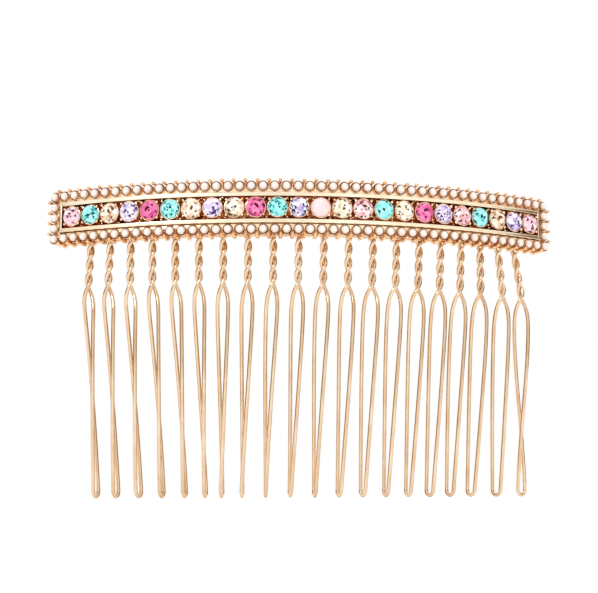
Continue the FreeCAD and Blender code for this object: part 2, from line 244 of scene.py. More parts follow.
# ---------------------------------------------------------------- material helpers
class Nodes:
    """Short names for building a node tree."""

    def __init__(self, name):
        self.material = bpy.data.materials.new(name)
        self.material.use_nodes = True
        self.tree = self.material.node_tree
        self.shader = self.tree.nodes["Principled BSDF"]
        self.place = self.add("ShaderNodeTexCoord").outputs["Object"]

    def add(self, kind, **settings):
        node = self.tree.nodes.new(kind)
        for key, value in settings.items():
            setattr(node, key, value)
        return node

    def link(self, a, b):
        self.tree.links.new(a, b)

    def noise(self, scale, detail=3.0, roughness=0.55):
        node = self.add("ShaderNodeTexNoise")
        node.inputs["Scale"].default_value = scale
        node.inputs["Detail"].default_value = detail
        node.inputs["Roughness"].default_value = roughness
        self.link(self.place, node.inputs["Vector"])
        return node.outputs["Fac"]

    def ramp(self, source, stops):
        node = self.add("ShaderNodeValToRGB")
        elements = node.color_ramp.elements
        while len(elements) < len(stops):
            elements.new(0.5)
        for element, (position, colour) in zip(elements, stops):
            element.position = position
            element.color = (*colour, 1.0)
        self.link(source, node.inputs["Fac"])
        return node.outputs["Color"]

    def span(self, source, low, high, source_low=0.3, source_high=0.7):
        node = self.add("ShaderNodeMapRange")
        node.inputs["From Min"].default_value = source_low
        node.inputs["From Max"].default_value = source_high
        node.inputs["To Min"].default_value = low
        node.inputs["To Max"].default_value = high
        self.link(source, node.inputs["Value"])
        return node.outputs["Result"]

    def mix(self, factor, a, b):
        node = self.add("ShaderNodeMix", data_type="RGBA")
        self.put(factor, node.inputs[0])
        self.put(a, node.inputs[6])
        self.put(b, node.inputs[7])
        return node.outputs[2]

    def put(self, value, socket):
        if isinstance(value, bpy.types.NodeSocket):
            self.link(value, socket)
        elif isinstance(value, tuple):
            socket.default_value = (*value, 1.0) if len(value) == 3 else value
        else:
            socket.default_value = value

    def bump(self, height, strength, distance):
        node = self.add("ShaderNodeBump")
        node.inputs["Strength"].default_value = strength
        node.inputs["Distance"].default_value = distance
        self.link(height, node.inputs["Height"])
        self.link(node.outputs["Normal"], self.shader.inputs["Normal"])

    def set(self, **values):
        for key, value in values.items():
            self.put(value, self.shader.inputs[key.replace("_", " ")])


def plated_gold(name, light, deep, rough_low, rough_high, ripple, grain):
    """Polished plated metal: slow shifts of tone, polishing haze, and a faint ripple of the casting or wire."""
    n = Nodes(name)
    tone = n.noise(260.0, 2.0)
    haze = n.noise(1400.0, 4.0)
    colour = n.ramp(tone, ((0.3, deep), (0.7, light)))
    n.set(Metallic=1.0, Base_Color=colour, Roughness=n.span(haze, rough_low, rough_high))
    n.bump(n.noise(grain, 3.0), ripple, 0.00004)
    return n.material


def channel_gold():
    """Floor of the stone channel: gold painted deep red-brown as shade and reflection of the gold walls in the
    recess, dull and uneven from casting.
    """
    n = Nodes("channel_gold_painted_shade")
    tone = n.noise(900.0, 4.0, 0.6)
    colour = n.ramp(tone, ((0.3, (0.07, 0.008, 0.004)), (0.52, (0.26, 0.05, 0.018)),
                           (0.72, (0.85, 0.42, 0.18))))
    n.set(Metallic=0.9, Base_Color=colour, Roughness=n.span(n.noise(2600.0), 0.18, 0.42))
    n.bump(tone, 0.7, 0.00012)
    return n.material


def nacre():
    """Pearl skin: white with soft pink and green clouds, a painted warm shade and painted reflection of the gold
    towards the bezel, and a clear lacquer.
    """
    n = Nodes("pearl_nacre")
    cloud = n.noise(520.0, 2.0, 0.5)
    tint = n.ramp(cloud, ((0.32, (0.86, 0.74, 0.70)), (0.45, (0.88, 0.82, 0.76)),
                          (0.56, (0.82, 0.82, 0.77)), (0.68, (0.88, 0.80, 0.80))))
    # The crown height paints shade and the gold's reflection on the pearl, darker and warmer towards the bezel.
    crown = n.add("ShaderNodeAttribute", attribute_name="crown")
    rim = n.span(crown.outputs["Fac"], 0.85, 0.0, 0.1, 0.95)
    colour = n.mix(rim, tint, (0.60, 0.37, 0.26))
    n.set(Base_Color=colour, Roughness=n.span(n.noise(1500.0), 0.16, 0.30))
    n.shader.inputs["Coat Weight"].default_value = 1.0
    n.shader.inputs["Coat Roughness"].default_value = 0.12
    n.shader.inputs["IOR"].default_value = 1.6
    n.bump(n.noise(3000.0, 2.0), 0.15, 0.00002)
    return n.material


# The four tones of each glass, from the painted dark reflections in the facets to the painted pale ones.
GLASS_TONES = {
    "pink": ((0.10, 0.02, 0.05), (0.56, 0.26, 0.36), (0.86, 0.50, 0.62), (0.97, 0.74, 0.82)),
    "aqua": ((0.00, 0.05, 0.06), (0.04, 0.36, 0.40), (0.24, 0.83, 0.83), (0.42, 0.95, 0.96)),
    "peach": ((0.12, 0.05, 0.02), (0.62, 0.38, 0.24), (0.90, 0.70, 0.54), (0.98, 0.90, 0.78)),
    "lavender": ((0.05, 0.02, 0.12), (0.34, 0.25, 0.60), (0.66, 0.56, 0.86), (0.90, 0.86, 0.98)),
    "fuchsia": ((0.09, 0.00, 0.03), (0.46, 0.03, 0.16), (0.78, 0.11, 0.32), (0.92, 0.26, 0.52)),
    "cream": ((0.08, 0.04, 0.02), (0.58, 0.42, 0.26), (0.88, 0.78, 0.62), (0.98, 0.94, 0.82)),
    "violet": ((0.008, 0.008, 0.04), (0.07, 0.07, 0.20), (0.50, 0.42, 0.74), (0.90, 0.88, 0.98)),
    "rose": ((0.12, 0.03, 0.04), (0.60, 0.26, 0.30), (0.86, 0.50, 0.56), (0.97, 0.76, 0.80)),
}


def cut_glass(colour):
    """Foil-backed glass: each facet carries its own painted tone of the stone's colour, its light and dark
    reflections painted in, under a hard clear skin.
    """
    n = Nodes("glass_" + colour)
    dark, deep, body, pale = GLASS_TONES[colour]
    # Painted sparkle at the palest end of the ramp: white, or the pale tone for aqua and fuchsia.
    sparkle = pale if colour in ("aqua", "fuchsia") else (1.0, 1.0, 1.0)
    facet = n.add("ShaderNodeAttribute", attribute_name="glint")
    stir = n.noise(1800.0, 1.0)
    level = n.add("ShaderNodeMath", operation="MULTIPLY_ADD")
    n.link(stir, level.inputs[0])
    level.inputs[1].default_value = 0.16
    n.link(facet.outputs["Fac"], level.inputs[2])
    shade = n.ramp(level.outputs[0], ((0.0, dark), (0.22, dark), (0.30, deep), (0.50, body), (0.78, pale),
                                      (0.98, sparkle)))
    n.set(Base_Color=shade, Roughness=n.span(stir, 0.02, 0.07))
    n.shader.inputs["Specular IOR Level"].default_value = 0.32
    n.bump(stir, 0.05, 0.00002)
    return n.material


def opal_glass():
    """Milky pink glass for the smooth dome."""
    n = Nodes("glass_opal")
    cloud = n.noise(700.0, 3.0)
    milk = n.ramp(cloud, ((0.3, (0.90, 0.66, 0.68)), (0.6, (0.94, 0.74, 0.75)), (0.8, (0.97, 0.84, 0.83))))
    n.set(Base_Color=milk, Roughness=n.span(n.noise(1500.0), 0.10, 0.2))
    n.shader.inputs["Coat Weight"].default_value = 0.5
    n.bump(n.noise(2600.0), 0.05, 0.00002)
    return n.material


# One plating in lit and shaded copies: the gallery and rail copies are lightened as painted light, the prong and
# bezel copies darkened as painted shade.
# Name, light tone, deep tone, lowest and highest roughness, ripple strength, ripple scale.
casting_gold = plated_gold("casting_rose_gold", (0.92, 0.68, 0.44), (0.80, 0.48, 0.26), 0.12, 0.24, 0.35, 1500.0)
gallery_gold_painted_light = plated_gold("gallery_gold_painted_light", (1.0, 0.88, 0.70), (0.95, 0.68, 0.44), 0.14, 0.28, 0.35, 1300.0)
rail_gold = plated_gold("rail_gold_painted_light", (1.0, 0.95, 0.80), (0.98, 0.84, 0.62), 0.12, 0.22, 0.3, 900.0)
cup_gold = plated_gold("claw_rose_gold", (1.0, 0.85, 0.65), (0.95, 0.60, 0.36), 0.10, 0.22, 0.35, 1800.0)
prong_gold = plated_gold("prong_gold_painted_shade", (0.90, 0.60, 0.34), (0.70, 0.36, 0.15), 0.08, 0.18, 0.3, 1800.0)
bezel_gold = plated_gold("bezel_gold_painted_shade", (0.76, 0.43, 0.22), (0.54, 0.25, 0.10), 0.12, 0.24, 0.35, 1800.0)
wire_gold = plated_gold("wire_rose_gold", (0.76, 0.61, 0.44), (0.67, 0.46, 0.29), 0.06, 0.14, 0.14, 1100.0)
solder_metal = plated_gold("solder_metal", (0.86, 0.72, 0.56), (0.62, 0.48, 0.36), 0.28, 0.48, 0.8, 1300.0)
pearl_skin = nacre()
channel_painted_shade = channel_gold()


# ---------------------------------------------------------------- places along the band
def stone_angles():
    """Angle of every stone, from -X to +X."""
    middle = (STONE_COUNT - 1) / 2
    return [degrees_at((i - middle) * STONE_PITCH) for i in range(STONE_COUNT)]


def pearl_places():
    """Angle and height of every pearl, by row."""
    step = PEARL_ROW_ARC / (PEARLS_PER_ROW - 1)
    row = [degrees_at(i * step - PEARL_ROW_ARC / 2) for i in range(PEARLS_PER_ROW)]
    rise = 2 * ROW_HALF_Z / (PEARLS_PER_END + 1)
    heights = [STONE_LINE_Z - ROW_HALF_Z + (i + 1) * rise for i in range(PEARLS_PER_END)]
    end = degrees_at(PEARL_ROW_ARC / 2)
    return {
        "top_row": [(a, STONE_LINE_Z + ROW_HALF_Z) for a in row],
        "bottom_row": [(a, STONE_LINE_Z - ROW_HALF_Z) for a in row],
        "left_end": [(-end, z) for z in heights],
        "right_end": [(end, z) for z in heights],
    }


def prong_places():
    """Angle and height of every prong, in the gaps along the outer edge."""
    row = [a for a, z in PEARLS["top_row"]]
    gaps = [(a + b) / 2 for a, b in zip(row, row[1:])]
    column = [z for a, z in PEARLS["left_end"]]
    heights = [STONE_LINE_Z - ROW_HALF_Z, *column, STONE_LINE_Z + ROW_HALF_Z]
    middles = [(a + b) / 2 for a, b in zip(heights, heights[1:])]
    out = degrees_at(PEARL_ROW_ARC / 2 + PRONG_OFFSET)
    edge = ROW_HALF_Z + PRONG_OFFSET
    return {
        "top": [(a, STONE_LINE_Z + edge) for a in gaps],
        "bottom": [(a, STONE_LINE_Z - edge) for a in gaps],
        "ends": [(side * out, z) for side in (-1, 1) for z in middles],
    }


PEARLS = pearl_places()
ALL_SEATS = [place for row in PEARLS.values() for place in row]


# ---------------------------------------------------------------- the casting
def make_setting_plate():
    """Curved plate with a scallop behind each pearl and a lobe behind each prong."""
    bm = bmesh.new()
    half = PEARL_ROW_ARC / 2
    edge = ROW_HALF_Z + PLATE_MARGIN
    arc_bar(bm, -half - PLATE_MARGIN, half + PLATE_MARGIN, PLATE_BACK_R, PLATE_FRONT_R,
            STONE_LINE_Z - edge, STONE_LINE_Z + edge, PLATE_BEVEL)
    scallop = disc(SCALLOP_R, SCALLOP_HEIGHT, 0.05, 20)
    stamp(bm, scallop, [seat(a, PLATE_BACK_R + SCALLOP_IN_FROM_BACK, z) for a, z in ALL_SEATS])
    lobe = disc(LOBE_R, LOBE_HEIGHT, 0.04, 14)
    for spots in prong_places().values():
        stamp(bm, lobe, [seat(a, PLATE_BACK_R + LOBE_IN_FROM_BACK, z) for a, z in spots])
    finish_piece("setting_plate_casting", bm, casting_gold, ["setting_plate"])


def make_gallery():
    """Raised strips that the pearl bezels stand in, with a narrow groove between them and the rails."""
    bm = bmesh.new()
    half = PEARL_ROW_ARC / 2
    low = PLATE_FRONT_R - GALLERY_IN_PLATE
    top = PEARL_CENTRE_R - GALLERY_BELOW_PEARLS
    inner = RAIL_OUT_Z + GALLERY_GROOVE
    outer = ROW_HALF_Z + GALLERY_PAST_PEARLS
    arc_bar(bm, -half, half, low, top, STONE_LINE_Z + inner, STONE_LINE_Z + outer, GALLERY_BEVEL)
    arc_bar(bm, -half, half, low, top, STONE_LINE_Z - outer, STONE_LINE_Z - inner, GALLERY_BEVEL)
    for side in (-1, 1):
        a, b = sorted((side * (RAIL_OUT_ARC + GALLERY_GROOVE), side * (half + GALLERY_PAST_END_PEARLS)))
        arc_bar(bm, a, b, low, top, STONE_LINE_Z - outer, STONE_LINE_Z + outer, GALLERY_BEVEL)
    finish_piece("pearl_gallery", bm, gallery_gold_painted_light)


def make_channel_floor():
    """Thin skin on the plate between the rails, under the stones, which carries the channel's painted shade."""
    bm = bmesh.new()
    half_z = RAIL_IN_Z + CHANNEL_UNDER_RAILS
    arc_bar(bm, -RAIL_IN_ARC, RAIL_IN_ARC, PLATE_FRONT_R - 0.02, PLATE_FRONT_R + 0.08,
            STONE_LINE_Z - half_z, STONE_LINE_Z + half_z, 0.02)
    finish_piece("channel_floor", bm, channel_painted_shade)


def make_rails():
    """Square-cornered frame: two long rails and two end bars, with softly rounded top edges."""
    bm = bmesh.new()
    low = PLATE_FRONT_R + 0.02
    for side in (-1, 1):
        a, b = sorted((side * RAIL_IN_Z, side * RAIL_OUT_Z))
        arc_bar(bm, -RAIL_OUT_ARC, RAIL_OUT_ARC, low, RAIL_TOP_R, STONE_LINE_Z + a, STONE_LINE_Z + b, RAIL_BEVEL)
        a, b = sorted((side * RAIL_IN_ARC, side * RAIL_OUT_ARC))
        arc_bar(bm, a, b, low, RAIL_TOP_R, STONE_LINE_Z - RAIL_OUT_Z, STONE_LINE_Z + RAIL_OUT_Z, RAIL_BEVEL)
    finish_piece("rail_frame_casting", bm, rail_gold, ["rail_frame"])


def claw_shape():
    """A tapered claw with a rounded bead for a tip."""
    rise = GIRDLE_HEIGHT + 0.12
    return lathe(((0, 0), (0.24, 0), (0.18, rise - 0.2), (0.24, rise), (0.21, rise + 0.14),
                  (0.12, rise + 0.24), (0, rise + 0.27)), 8)


def web_shape():
    """A six-sided fin that narrows from its foot to a blunt tip."""
    return lathe(((0, 0), (0.42, 0), (0.26, 1.1), (0.2, 1.45), (0.1, 1.6), (0, 1.63)), 6)


def cup_shape():
    """An open cup whose wall stands just outside the stone."""
    rim = GIRDLE_HEIGHT - 0.16
    return lathe(((0, 0.02), (1.48, 0.02), (1.64, rim - 0.1), (1.63, rim), (1.55, rim + 0.02), (1.50, rim - 0.08),
                  (1.2, 0.3), (0, 0.26)), 28)


def crescent(span, high):
    """A thin upright sliver of metal that hugs part of a stone's edge, centred on +x."""
    bm = bmesh.new()
    start = Matrix.Rotation(-span / 2, 4, "Z")
    outline = ((1.57, 0.9), (1.72, 0.8), (1.71, high - 0.06), (1.64, high), (1.58, high - 0.04))
    corners = [bm.verts.new(start @ Vector((x, 0, z))) for x, z in outline]
    face = bm.faces.new(corners)
    bmesh.ops.spin(bm, geom=[face, *face.edges, *corners], cent=(0, 0, 0), axis=(0, 0, 1),
                   angle=span, steps=9)
    bmesh.ops.recalc_face_normals(bm, faces=bm.faces)
    return as_mesh(bm)


def make_cups():
    """One open cup per stone with four claws, uneven webs between neighbours and casting lumps in the channel."""
    chance = random.Random(31)
    bm = bmesh.new()
    claw = claw_shape()
    web = web_shape()
    angles = stone_angles()
    stamp(bm, cup_shape(), [seat(a, PLATE_FRONT_R, STONE_LINE_Z) for a in angles])
    for a in angles:
        for quarter in range(4):
            turn = math.radians(45 + 90 * quarter)
            across = math.degrees(CLAW_REACH * math.cos(turn) / PLATE_FRONT_R)
            size = chance.uniform(0.75, 1.1)
            shape = Matrix.Diagonal((size, size * chance.uniform(0.8, 1.25), chance.uniform(0.9, 1.0), 1))
            height = STONE_LINE_Z + CLAW_REACH * math.sin(turn)
            stamp(bm, claw, [seat(a + across, PLATE_FRONT_R, height) @ shape])
        for side in (-1, 1):
            if chance.random() < SLIVER_SHARE:
                sliver = crescent(chance.uniform(0.5, 1.3), GIRDLE_HEIGHT + chance.uniform(-0.1, 0.12))
                turn = Matrix.Rotation(side * math.pi / 2 + chance.uniform(-0.4, 0.4), 4, "Z")
                stamp(bm, sliver, [seat(a, PLATE_FRONT_R, STONE_LINE_Z) @ turn])
    for a, b in zip(angles, angles[1:]):
        for side in (-1, 1):
            lean = Matrix.Rotation(chance.uniform(-0.25, 0.25), 4, "Y")
            shape = uneven(chance, (0.7, 1.5), (0.6, 1.1), (0.7, 1.0))
            stamp(bm, web, [seat((a + b) / 2, PLATE_FRONT_R, STONE_LINE_Z + side * WEB_OFFSET_Z) @ lean @ shape])
            spot = (a + b) / 2 + chance.uniform(-0.35, 0.35)
            shape = uneven(chance, (0.4, 0.9), (0.4, 0.8), (0.25, 0.6))
            height = STONE_LINE_Z + side * chance.uniform(0.9, 1.3)
            stamp(bm, web, [seat(spot, PLATE_FRONT_R, height) @ shape])
    finish_piece("stone_cups_and_claws", bm, cup_gold, ["stone_cups"])


def make_bezels():
    """Round bezels: a thin wall with a rolled lip that stands up round the pearl."""
    bm = bmesh.new()
    lip = PEARL_CENTRE_R - PLATE_FRONT_R - 0.05
    for row, places in PEARLS.items():
        wide = END_BEZEL_R if row.endswith("end") else BEZEL_R
        bezel = lathe(((0, 0.03), (wide - 0.03, 0.03), (wide - 0.02, lip - 0.16), (wide, lip - 0.07),
                       (wide - 0.02, lip - 0.01), (wide - 0.05, lip), (wide - 0.09, lip - 0.03),
                       (wide - 0.12, lip - 0.12), (wide - 0.15, lip - 0.4), (0, lip - 0.55)), 20)
        stamp(bm, bezel, [seat(a, PLATE_FRONT_R, z) for a, z in places])
    # Darker gold copy: painted shade round the pearls.
    finish_piece("pearl_bezels", bm, bezel_gold, ["pearl_cups"])


def make_pearls():
    """Pearls of slightly different size and seat, set in their bezels."""
    chance = random.Random(7)
    bench = bmesh.new()
    bmesh.ops.create_uvsphere(bench, u_segments=20, v_segments=12, radius=PEARL_R)
    # Height above the pearl's middle, which the skin reads to paint shade towards the bezel.
    crown = bench.verts.layers.float.new("crown")
    for v in bench.verts:
        v[crown] = max(0.0, v.co.z / PEARL_R)
    ball = as_mesh(bench)
    for row, places in PEARLS.items():
        bm = bmesh.new()
        for a, z in places:
            size = chance.uniform(0.96, 1.0)
            sunk = chance.uniform(0.0, 0.08)
            turn = Matrix.Rotation(chance.uniform(0, math.tau), 4, "Z")
            squash = Matrix.Diagonal((size, size, size * 0.97, 1))
            stamp(bm, ball, [seat(a, PEARL_CENTRE_R - sunk, z) @ turn @ squash])
        finish_piece("pearls_" + row + "_set", bm, pearl_skin, ["pearls_" + row], sharp=80)


def make_prongs():
    """Ball-tipped prongs in every gap round the outer edge."""
    top = PRONG_BALL_R - PLATE_FRONT_R
    round_the_ball = (0.7, 1.1, 1.57, 2.0, 2.4, 2.8)
    ball = [(PRONG_BALL * math.sin(a), top - PRONG_BALL * math.cos(a)) for a in round_the_ball]
    prong = lathe([(0, 0.03), (0.24, 0.03), (0.2, top - 0.5)] + ball + [(0, top + PRONG_BALL)], 12)
    chance = random.Random(11)
    for name, spots in prong_places().items():
        bm = bmesh.new()
        for a, z in spots:
            lean = Matrix.Rotation(0 if name == "ends" else chance.uniform(-0.06, 0.06), 4, "Y")
            size = chance.uniform(0.92, 0.99)
            stamp(bm, prong, [seat(a, PLATE_FRONT_R, z) @ lean @ Matrix.Diagonal((size, size, 1, 1))])
        finish_piece("ball_prongs_" + name + "_set", bm, prong_gold, ["ball_prongs_" + name],
                     sharp=60)


# ---------------------------------------------------------------- stones
def ring(bm, count, radius, z, start=0.0):
    """A circle of points at one height, turned by the start angle."""
    made = bmesh.ops.create_circle(bm, segments=count, radius=radius)["verts"]
    turn = Matrix.Rotation(math.radians(start), 4, "Z")
    bmesh.ops.transform(bm, matrix=Matrix.Translation((0, 0, z)) @ turn, verts=made)


def painted_facet_tone(chance, out, dark_share):
    """Painted brightness of a facet, for the light and dark it reflects, from 0 to 1. Out is its place between
    the middle and the girdle.
    """
    draw = chance.random()
    if out < 0.3 and draw < 0.36:
        return chance.uniform(0.0, 0.10)
    if out > 0.55 and draw < dark_share / 2:
        return chance.uniform(0.0, 0.10)
    if draw < 0.30:
        return chance.uniform(0.18, 0.32)
    if draw < 0.66:
        return chance.uniform(0.36, 0.55)
    return chance.uniform(0.60, 0.95)


def brilliant(chance, dark_share):
    """Round brilliant whose table and kites are broken up, as the back facets break them up to the eye, into
    patches for painted reflections.
    """
    bm = bmesh.new()
    culet_z = -STONE_GIRDLE - STONE_PAVILION
    culet_r = 0.02
    half_step = math.cos(math.radians(22.5))
    star_r = STONE_STAR_SHARE * STONE_R
    low_r = STONE_LOW_SHARE * STONE_R
    star_z = STONE_CROWN * (STONE_R - star_r * half_step) / (STONE_R - STONE_TABLE_R)
    low_z = -STONE_GIRDLE - STONE_PAVILION * (1 - low_r * half_step / STONE_R)
    ring(bm, 8, STONE_TABLE_R, STONE_CROWN)
    ring(bm, 8, star_r, star_z, 22.5)
    ring(bm, 16, STONE_R, 0)
    ring(bm, 16, STONE_R, -STONE_GIRDLE)
    ring(bm, 8, low_r, low_z, 22.5)
    ring(bm, 8, culet_r, culet_z)
    bmesh.ops.convex_hull(bm, input=bm.verts)
    bmesh.ops.delete(bm, geom=[e for e in bm.edges if not e.link_faces], context="EDGES")
    bmesh.ops.dissolve_limit(bm, angle_limit=math.radians(1.5), verts=bm.verts, edges=bm.edges)
    bm.normal_update()
    table = max(bm.faces, key=lambda f: f.normal.z)
    bmesh.ops.inset_region(bm, faces=[table], thickness=STONE_TABLE_INSET, depth=0)
    bmesh.ops.poke(bm, faces=[table])
    # Each facet's painted reflection tone, light or dark.
    glint = bm.faces.layers.float.new("glint")
    for face in bm.faces:
        middle = face.calc_center_median()
        face[glint] = painted_facet_tone(chance, math.hypot(middle.x, middle.y) / STONE_R, dark_share)
    kites = [f for f in bm.faces if len(f.verts) == 4 and 0.4 < f.normal.z < 0.999]
    for face in kites:
        tone = max(face[glint], 0.36)
        for part in bmesh.ops.poke(bm, faces=[face])["faces"]:
            dark = chance.random() < dark_share
            part[glint] = chance.uniform(0.0, 0.14) if dark else tone + chance.uniform(-0.12, 0.12)
    for v in bm.verts:
        if v.co.z > STONE_CROWN - 0.01:
            v.co.z -= chance.uniform(0.0, 0.035)
    bm.normal_update()
    return bm


def dome():
    """Smooth low dome on a plain cone, for the opal."""
    ball = (STONE_R**2 + OPAL_DOME**2) / (2 * OPAL_DOME)
    widest = math.asin(STONE_R / ball)
    sweep = [widest * i / 8 for i in range(8)]
    arc = [(ball * math.sin(a), OPAL_DOME - ball * (1 - math.cos(a))) for a in sweep]
    foot = ((STONE_R, 0), (STONE_R, -STONE_GIRDLE), (0, -STONE_GIRDLE - STONE_PAVILION))
    bm = bmesh.new()
    bm.from_mesh(lathe((*arc, *foot), 32))
    return bm


def make_stones():
    """Each stone on its own, turned at random and a little loose in its cup."""
    chance = random.Random(24)
    glass = {colour: cut_glass(colour) for colour in GLASS_TONES}
    glass["opal"] = opal_glass()
    for number, (angle, colour) in enumerate(zip(stone_angles(), STONE_COLOURS), 1):
        turn = Matrix.Rotation(chance.uniform(0, math.tau), 4, "Z")
        tilt = Matrix.Rotation(chance.uniform(-STONE_LOOSENESS, STONE_LOOSENESS), 4, "X")
        tilt = tilt @ Matrix.Rotation(chance.uniform(-STONE_LOOSENESS, STONE_LOOSENESS), 4, "Y")
        dark_share = VIOLET_DARK_SHARE if colour == "violet" else DARK_SHARE
        bm = dome() if colour == "opal" else brilliant(chance, dark_share)
        bmesh.ops.transform(bm, matrix=seat(angle, GIRDLE_R, STONE_LINE_Z) @ tilt @ turn, verts=bm.verts)
        name = "stone_%02d" % number
        finish_piece(name + "_" + colour, bm, glass[colour], [name],
                     sharp=60 if colour == "opal" else 0.5)


# ---------------------------------------------------------------- rear bar and solder
def make_rear_bar():
    """Curved strip behind the plate, as long and as tall as the bar it stands for."""
    bm = bmesh.new()
    low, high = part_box("rear_bar")
    half = math.asin((high.x - low.x) / 2 / MM / BAR_FRONT_R) * FACE_R
    arc_bar(bm, -half, half, BAR_FRONT_R - BAR_THICKNESS, BAR_FRONT_R, low.z / MM, high.z / MM, BAR_BEVEL)
    finish_piece("rear_bar_strip", bm, casting_gold, ["rear_bar"])


def make_solder():
    """Rounded beads of solder between the necks."""
    chance = random.Random(5)
    bench = bmesh.new()
    bmesh.ops.create_uvsphere(bench, u_segments=16, v_segments=10, radius=1.0)
    ball = as_mesh(bench)
    bm = bmesh.new()
    angles = [tooth_angle(n) for n in range(1, TOOTH_COUNT + 1)]
    for a, b in zip(angles, angles[1:]):
        size = Matrix.Diagonal((chance.uniform(0.8, 0.95), chance.uniform(0.75, 1.0), 0.85, 1))
        height = SOLDER_Z + chance.uniform(-0.15, 0.15)
        stamp(bm, ball, [seat((a + b) / 2, SOLDER_R, height) @ size])
    finish_piece("solder_beads", bm, solder_metal, ["solder_joints"], sharp=80)


# ---------------------------------------------------------------- teeth
TEETH_HALF_ANGLE = 25.9
TEETH_SHIFT_ANGLE = 0.35
END_CROWDING = 0.05
STRAND_R = 0.345
TWIST_PITCH = 4.56
TWIST_END_Z = -6.75
TWIST_POINTS = 44
NECK_TOP_Z = 3.89
LOOP_LENGTH = 33.75
LOOP_POINTS = 60
LOOP_POINT_POWER = 1.7
LOOP_OPEN_WIDTH = 1.8
LOOP_WIDER_BY = 0.2
LOOP_NARROWING = 0.95
OPENING_DEPTH = 2.7
OPENING_DEPTH_CHANGE = 0.5
TURNING_SHARE = 0.7
TURN_AT_CROTCH = 110
TURN_DOWN_LOOP = 65
TIP_LENGTH = 1.3
TIP_POINTS = 16
TIP_POWER = 0.8
TILT_BACK = 4.9

# Unevenness left by hand bending, from one end of the row to the other.
HAND_SWAP = 10
HAND_SWAP_SPREAD = 2
FIRST_TEETH_TURN = 20
FIRST_TEETH_TURN_PEAK = 3
FIRST_TEETH_TURN_POWER = 1.5
LAST_TOOTH_TURN = 95
NECK_SPLAY = -0.1
FIRST_NECK_SPLAY = 0.6
FIRST_NECK_SPREAD = 1.8
LAST_NECK_SPLAY = 1.9
LAST_NECK_SPREAD = 1.6
LEAN = 0.1
HAND_LEAN = 1.3
LEAN_SWAP = 6.6
FIRST_TOOTH_SPLAY = 0.7
FIRST_TOOTH_SPREAD = 3
LAST_TOOTH_SPLAY = 2.3
LAST_TOOTH_SPREAD = 1
WIDTH_CHANGE = 0.05
TURN_CHANGE = 4
WAVE = 0.12


def tooth_angle(number):
    """Teeth crowd a little towards the ends of the row, which sits slightly off centre."""
    n = (2 * number - TOOTH_COUNT - 1) / (TOOTH_COUNT - 1)
    return TEETH_SHIFT_ANGLE + TEETH_HALF_ANGLE * ((1 + END_CROWDING) * n - END_CROWDING * n**3)


def row_side(number):
    """-1 for the teeth towards -X, 1 for the teeth towards +X, with a soft change between them."""
    return math.tanh((number - HAND_SWAP) / HAND_SWAP_SPREAD)


def hump(number, peak, spread):
    """1 at the peak tooth, falling smoothly to 0 on both sides."""
    return math.exp(-(((number - peak) / spread) ** 2))


def loop_width(number):
    """How far the strands open, wider towards +X."""
    return LOOP_OPEN_WIDTH + LOOP_WIDER_BY * row_side(number)


def loop_turn(number):
    """How far the open loop turns on its way down: more on the first teeth, most on the last."""
    share = number / FIRST_TEETH_TURN_PEAK
    first = FIRST_TEETH_TURN * (share * math.exp(1 - share)) ** FIRST_TEETH_TURN_POWER
    return TURN_DOWN_LOOP + first + (LAST_TOOTH_TURN if number == TOOTH_COUNT else 0)


def neck_splay(number):
    """Sideways shift of a tooth where its twist ends."""
    last = LAST_NECK_SPLAY * hump(number, TOOTH_COUNT, LAST_NECK_SPREAD)
    return NECK_SPLAY + last - FIRST_NECK_SPLAY * hump(number, 1, FIRST_NECK_SPREAD)


def tooth_lean(number):
    """Further sideways shift down to the tip: most teeth lean inwards, and the end teeth splay out."""
    lean = LEAN - HAND_LEAN * math.tanh(number - LEAN_SWAP)
    last = LAST_TOOTH_SPLAY * hump(number, TOOTH_COUNT, LAST_TOOTH_SPREAD)
    return lean + last - FIRST_TOOTH_SPLAY * hump(number, 1, FIRST_TOOTH_SPREAD)


def strand_line(side, opening_width, turning, opening_depth):
    """Centreline of one strand, from the top of the neck to the start of the tip's bend."""
    points = []
    for k in range(TWIST_POINTS):
        z = NECK_TOP_Z + (TWIST_END_Z - NECK_TOP_Z) * k / TWIST_POINTS
        phi = math.radians(-90 + 360 * (z - TWIST_END_Z) / TWIST_PITCH)
        points.append(Vector((side * STRAND_R * math.cos(phi), side * STRAND_R * math.sin(phi), z)))
    end = LOOP_LENGTH - TIP_LENGTH
    for k in range(LOOP_POINTS + 1):
        depth = end * (k / LOOP_POINTS) ** LOOP_POINT_POWER
        down = depth / LOOP_LENGTH
        turned = 1 - math.exp(-depth / (TURNING_SHARE * opening_depth))
        opened = 1 - math.exp(-depth / opening_depth)
        phi = math.radians(-90 - TURN_AT_CROTCH * turned - turning * down)
        reach = STRAND_R + (opening_width * opened - LOOP_NARROWING * down) / 2
        points.append(Vector((side * reach * math.cos(phi), side * reach * math.sin(phi), TWIST_END_Z - depth)))
    return points


def tip_bend(a, b):
    """The wire's bend round the tip, from the end of one strand to the end of the other."""
    middle = (a + b) / 2
    half = (a - b) / 2
    drop = a.z - (TWIST_END_Z - LOOP_LENGTH + WIRE_R)
    turns = [math.pi * k / TIP_POINTS for k in range(1, TIP_POINTS)]
    return [middle + half * math.cos(t) + Vector((0, 0, -drop * math.sin(t) ** TIP_POWER)) for t in turns]


